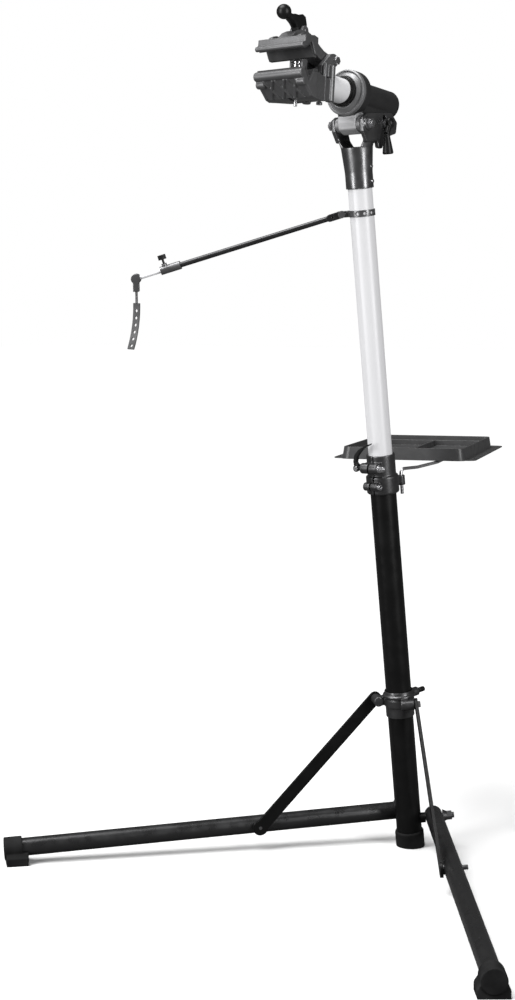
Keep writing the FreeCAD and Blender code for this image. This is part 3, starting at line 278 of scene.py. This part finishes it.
def soft_rubber(name, colour, roughness=0.72):
    """Rubber: matt, slightly dusty, with a fine pitted skin and a painted highlight along the
    edges.
    """
    look = Look(name, specular=0.15)
    rounded, edge = look.soft_edges(1.0 * MM)
    pits = look.noise(1100.0, 3.0)
    bloom = look.noise(26.0, 5.0)
    base = look.blend(look.remap(bloom, 0.35, 0.75), colour * 0.8, colour * 1.5 + 0.004)
    # painted highlight: every edge is lightened evenly
    base = look.blend(look.maths("MULTIPLY", edge, 0.3), base, colour * 2.0 + 0.02)
    gloss = look.remap(bloom, 0.3, 0.7, roughness - 0.08, roughness + 0.08)
    return look.finish(base, gloss, look.bump(pits, 0.06 * MM, 0.6, rounded))


def middle_of(node):
    """The middle of a node's bounding box."""
    corners = [Vector(corner) for corner in frame["nodes"][node].bound_box]
    return sum(corners, Vector()) / len(corners)


LEAN = 8.0                 # degrees, the mast from the vertical
BARE_REACH = 19.0 * MM     # of the unpainted face round the tilt barrel, from its axis
BARE_TONE = 0.55
OWN_LOOK = {
    "end_strap": "strap_rubber", "head_housing": "sand_cast", "head_yoke": "sleeve_coat",
    "lower_jaw": "jaw_cast", "upper_jaw": "jaw_cast", "arm_rod": "silver_tube",
    "arm_tube": "leg_coat", "leg_tube_left": "leg_coat", "leg_tube_right": "leg_coat",
}
LOOKS = {
    "black_coat": powder_coat("satin_black_coat", 0.004, 0.34),
    "leg_coat": powder_coat("glossy_black_coat", 0.060, 0.30, specular=0.5, metallic=0.8),
    "sleeve_coat": powder_coat("glossy_sleeve", 0.19, 0.31, grain=0.12, specular=0.5, metallic=0.9),
    "cast_black": cast_finish("black_casting", 0.095, 0.33, edge_wear_and_highlight_tone=0.36, metallic=0.8),
    "sand_cast": cast_finish("sandy_black_casting", 0.035, 0.50, grain=1.8, edge_wear_and_highlight_tone=0.14,
                             metallic=0.4,
                             patch=(middle_of("tilt_pivot_bolt"), BARE_REACH, BARE_TONE)),
    "jaw_cast": cast_finish("jaw_casting", 0.17, 0.38, edge_wear_and_highlight_tone=0.45, metallic=0.65),
    "silver_tube": drawn_aluminium("satin_silver_tube", 0.93, 0.42, LEAN),
    "grey_cast": cast_finish("grey_casting", 0.28, 0.42, grain=1.6, edge_wear_and_highlight_tone=0.6, metallic=0.6),
    "chrome_part": plated("bright_plating", 0.80, 0.16),
    "steel_wire": bare_steel("drawn_steel", 0.78, 0.30),
    "grey_steel": powder_coat("dark_grey_coat", 0.18, 0.32, grain=0.7, specular=0.5, metallic=0.75),
    "black_plastic": moulded_plastic("black_moulding", 0.008, 0.36, grain=0.5),
    "tray_plastic": moulded_plastic("tray_moulding", 0.052, 0.36, specular=0.5),
    "black_rubber": soft_rubber("black_rubber", 0.010),
    "pad_rubber": soft_rubber("grey_rubber", 0.055, 0.62),
    "strap_rubber": soft_rubber("strap_rubber", 0.10, 0.55),
}


# --- pieces -------------------------------------------------------------------------
def dress(piece, node):
    """Gives a piece the finish of a node, in every material slot."""
    piece.data.materials.clear()
    piece.data.materials.append(LOOKS[OWN_LOOK.get(node, SLOT_OF[node])])


WELD_REACH = 0.002 * MM    # corners closer than this become one
BLEND = 0.5                # share of the way to its neighbours' middle that a corner moves
KEPT_FACES = 0.3           # share of a skin's faces that is kept


def skinned(node, cell, passes):
    """A casting's shape again as one smooth skin with blended corners, in place of the node."""
    mesh = frame["nodes"][node].data.copy()
    mesh.name = node + "_skin"
    normals = mesh.attributes.get("custom_normal")
    if normals is not None:
        mesh.attributes.remove(normals)
    piece = bpy.data.objects.new(node + "_skin", mesh)
    bpy.context.scene.collection.objects.link(piece)
    weld = piece.modifiers.new("weld", "WELD")
    weld.merge_threshold = WELD_REACH
    skin = piece.modifiers.new("skin", "REMESH")
    skin.mode = "VOXEL"
    skin.voxel_size = cell
    skin.use_smooth_shade = True
    blend = piece.modifiers.new("blend", "SMOOTH")
    blend.factor = BLEND
    blend.iterations = passes
    fewer = piece.modifiers.new("fewer", "DECIMATE")
    fewer.ratio = KEPT_FACES
    dress(piece, node)
    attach(piece, BODY_OF[node])
    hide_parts(node)


# castings and mouldings: cell of the skin in millimetres, and smoothing passes
CASTINGS = {
    "lower_jaw": (0.8, 3), "upper_jaw": (0.8, 4), "cam_handle": (0.7, 14), "head_yoke": (0.8, 6),
    "head_housing": (1.0, 6), "mast_clamp": (0.7, 3), "slider_collar": (0.7, 5),
    "lock_handle": (0.6, 10), "leg_foot_left": (0.9, 5), "leg_foot_right": (0.9, 5),
    "quick_release_lever": (0.5, 4), "leg_boss_left": (0.7, 4), "leg_boss_right": (0.7, 4),
    "mast_foot_cap": (1.0, 5), "strap_joint": (0.5, 4), "arm_band": (0.5, 2),
}

for name, node in frame["nodes"].items():
    dress(node, name)
for name, (cell, passes) in CASTINGS.items():
    skinned(name, cell * MM, passes)


# --- studio ---------------------------------------------------------------------------
ROOM_LIGHT = 0.07          # strength of the white room on the part; the camera sees it as 1
FLOOR_BOUNCE = 0.10        # floor's tone in the light it throws back on the part
FLOOR_PALE = 0.94          # floor's tone to the camera
FLOOR_HALF = 40.0
FLOOR_DROP = 0.05 * MM     # below the feet
OVERHEAD = 3.5             # strength of the light from above
OVERHEAD_ANGLE = 42.0      # degrees across, which sets how soft its shadows are
OVERHEAD_TURN = (12.0, 18.0, 0.0)
LAMP_SIZE = (0.8, 2.4)
LAMP_POWER = 62.0
LAMP_AIM = (0.1, 0.0, 0.75)
LAMPS = {"key": (2.9, -0.9, 1.5), "fill": (0.5, 3.0, 1.5)}
CAMERA_PLACE = (2.5955, 1.7212, 0.9441)
CAMERA_HEADING = -141.40   # degrees from +X
CAMERA_PITCH = -3.32       # degrees, looking slightly down
CAMERA_LENS = 63.313
CAMERA_SHIFT = -0.0806


def seen_as(tree, socket, on_part, to_camera):
    """Feeds a stage value that differs between the light on the part and the camera's view."""
    seen = tree.nodes.new("ShaderNodeLightPath").outputs["Is Camera Ray"]
    value = tree.nodes.new("ShaderNodeMapRange")
    value.inputs["To Min"].default_value = on_part
    value.inputs["To Max"].default_value = to_camera
    tree.links.new(seen, value.inputs["Value"])
    tree.links.new(value.outputs["Result"], socket)


def make_stage():
    """A plain pale floor and a white room."""
    mesh = bpy.data.meshes.new("floor")
    half = FLOOR_HALF
    corners = [(-half, -half, 0.0), (half, -half, 0.0), (half, half, 0.0), (-half, half, 0.0)]
    mesh.from_pydata(corners, [], [(0, 1, 2, 3)])
    floor = bpy.data.objects.new("floor", mesh)
    bpy.context.scene.collection.objects.link(floor)
    floor.location.z = -FLOOR_DROP
    paint = bpy.data.materials.new("floor_paint")
    paint.use_nodes = True
    shader = paint.node_tree.nodes["Principled BSDF"]
    shader.inputs["Roughness"].default_value = 0.9
    shader.inputs["Specular IOR Level"].default_value = 0.0
    seen_as(paint.node_tree, shader.inputs["Base Color"], FLOOR_BOUNCE, FLOOR_PALE)
    mesh.materials.append(paint)
    world = bpy.data.worlds.new("studio")
    bpy.context.scene.world = world
    world.use_nodes = True
    tree = world.node_tree
    sky = tree.nodes["Background"]
    sky.inputs["Color"].default_value = (1.0, 1.0, 1.0, 1.0)
    seen_as(tree, sky.inputs["Strength"], ROOM_LIGHT, 1.0)


def area_light(name, place):
    """A soft rectangular lamp that points at the part."""
    data = bpy.data.lights.new(name, "AREA")
    data.shape = "RECTANGLE"
    data.size, data.size_y = LAMP_SIZE
    data.energy = LAMP_POWER
    lamp = bpy.data.objects.new(name, data)
    lamp.location = place
    lamp.rotation_euler = (Vector(LAMP_AIM) - Vector(place)).to_track_quat("-Z", "Y").to_euler()
    bpy.context.scene.collection.objects.link(lamp)


def make_lights():
    """An even overhead light that keeps the floor pale, and lamps that draw the highlights."""
    data = bpy.data.lights.new("overhead", "SUN")
    data.energy = OVERHEAD
    data.angle = math.radians(OVERHEAD_ANGLE)
    lamp = bpy.data.objects.new("overhead", data)
    lamp.rotation_euler = [math.radians(turn) for turn in OVERHEAD_TURN]
    bpy.context.scene.collection.objects.link(lamp)
    for name, place in LAMPS.items():
        area_light(name, place)


def make_camera():
    """The viewing angle: level with the stand's middle, from ahead of it and to its left."""
    data = bpy.data.cameras.new("camera")
    data.lens = CAMERA_LENS
    data.sensor_width = 36.0
    data.shift_y = CAMERA_SHIFT
    data.clip_start, data.clip_end = 0.05, 200.0
    camera = bpy.data.objects.new("camera", data)
    heading = math.radians(CAMERA_HEADING)
    pitch = math.radians(CAMERA_PITCH)
    ahead = Vector((math.cos(heading) * math.cos(pitch), math.sin(heading) * math.cos(pitch),
                    math.sin(pitch)))
    camera.location = CAMERA_PLACE
    camera.rotation_euler = ahead.to_track_quat("-Z", "Y").to_euler()
    bpy.context.scene.collection.objects.link(camera)
    bpy.context.scene.camera = camera


make_stage()
make_lights()
make_camera()
bpy.context.scene.view_settings.view_transform = "Standard"
